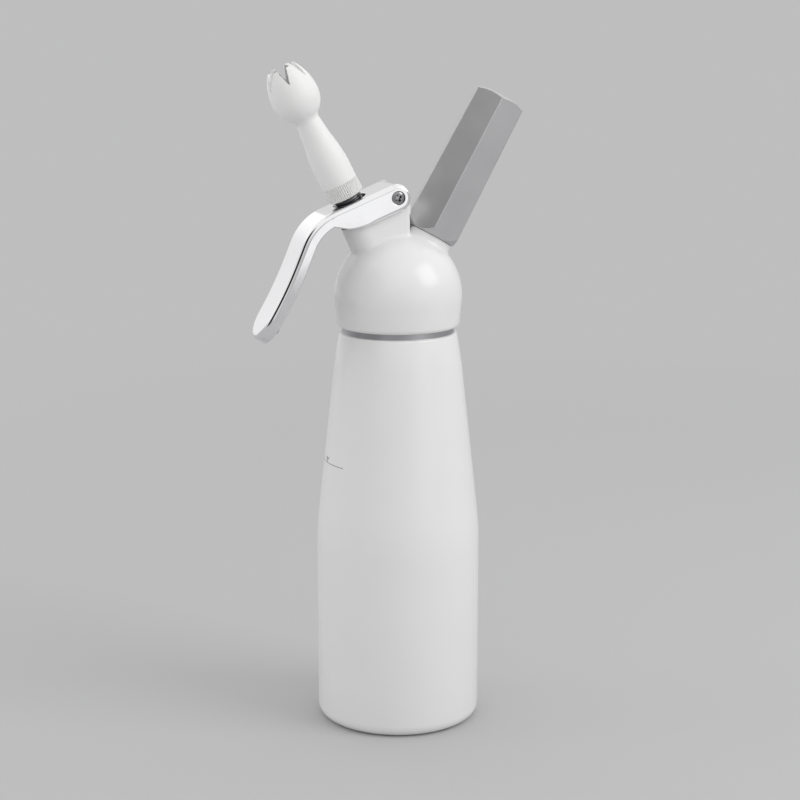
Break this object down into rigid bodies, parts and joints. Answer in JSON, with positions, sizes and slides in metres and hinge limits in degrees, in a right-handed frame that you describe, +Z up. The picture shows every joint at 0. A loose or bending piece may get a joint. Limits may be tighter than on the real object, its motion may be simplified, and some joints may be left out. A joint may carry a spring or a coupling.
{
  "type": "whipped cream dispenser",
  "caption": "Pressure flask with a domed head, a squeeze lever and tulip nozzle on one side and a hexagonal gas charger holder on the other.",
  "frame": {"origin": "centre of the flat base, on the flask's axis", "axes": "+Z up along the flask's axis; -X towards the lever and the nozzle, +X towards the charger holder; the XZ plane halves the mechanism"},
  "size_m": [0.1298, 0.077, 0.3118],
  "materials": {
    "white_lacquer": "gloss",
    "chromed_steel": "polished",
    "satin_metal": "satin brushed",
    "white_plastic": "matte",
    "screw_steel": "polished",
    "steel": "turned",
    "charger_steel": "zinc plated",
    "brass": "turned",
    "seal_rubber": "matte"
  },
  "bodies": {
    "flask": {"bottle": "white_lacquer"},
    "head_unit": {"head": "white_lacquer", "head_gasket": "seal_rubber", "valve_guide": "brass", "stem_seal": "seal_rubber", "valve_spring": "steel", "charger_port": "brass", "port_gasket": "seal_rubber", "piercing_pin": "steel", "pin_filter": "brass", "check_valve": "seal_rubber", "pivot_screw_front": "screw_steel", "pivot_screw_back": "screw_steel"},
    "squeeze_lever": {"lever": "chromed_steel"},
    "valve_unit": {"valve_stem": "steel", "valve_seal": "seal_rubber", "nozzle_adapter": "steel", "adapter_gasket": "seal_rubber"},
    "nozzle_unit": {"nozzle": "white_plastic"},
    "charger_unit": {"charger_holder": "satin_metal", "gas_charger": "charger_steel", "charger_cap": "steel"}
  },
  "joints": [
    {"name": "head_lift", "type": "slide", "parent": "flask", "child": "head_unit", "axis": [0, 0, 1], "range_m": [0, 0.03]},
    {"name": "lever_squeeze", "type": "hinge", "parent": "head_unit", "child": "squeeze_lever", "pos_m": [-0.00353, 0, 0.25043], "axis": [0, -1, 0], "range_deg": [0, 10], "stiffness_Nm_per_rad": 0.7, "springref_deg": -15.47},
    {"name": "valve_press", "type": "slide", "parent": "head_unit", "child": "valve_unit", "axis": [0.4633, 0, -0.8862], "range_m": [0, 0.00328], "deforming": ["valve_spring"]},
    {"name": "nozzle_unscrew", "type": "slide", "parent": "valve_unit", "child": "nozzle_unit", "axis": [-0.4633, 0, 0.8862], "range_m": [0, 0.02]},
    {"name": "holder_unscrew", "type": "slide", "parent": "head_unit", "child": "charger_unit", "axis": [0.4879, 0, 0.8729], "range_m": [0, 0.03]}
  ],
  "couplings": [
    {"joint": "valve_press", "follows": "lever_squeeze", "m_per_rad": 0.0187}
  ]
}
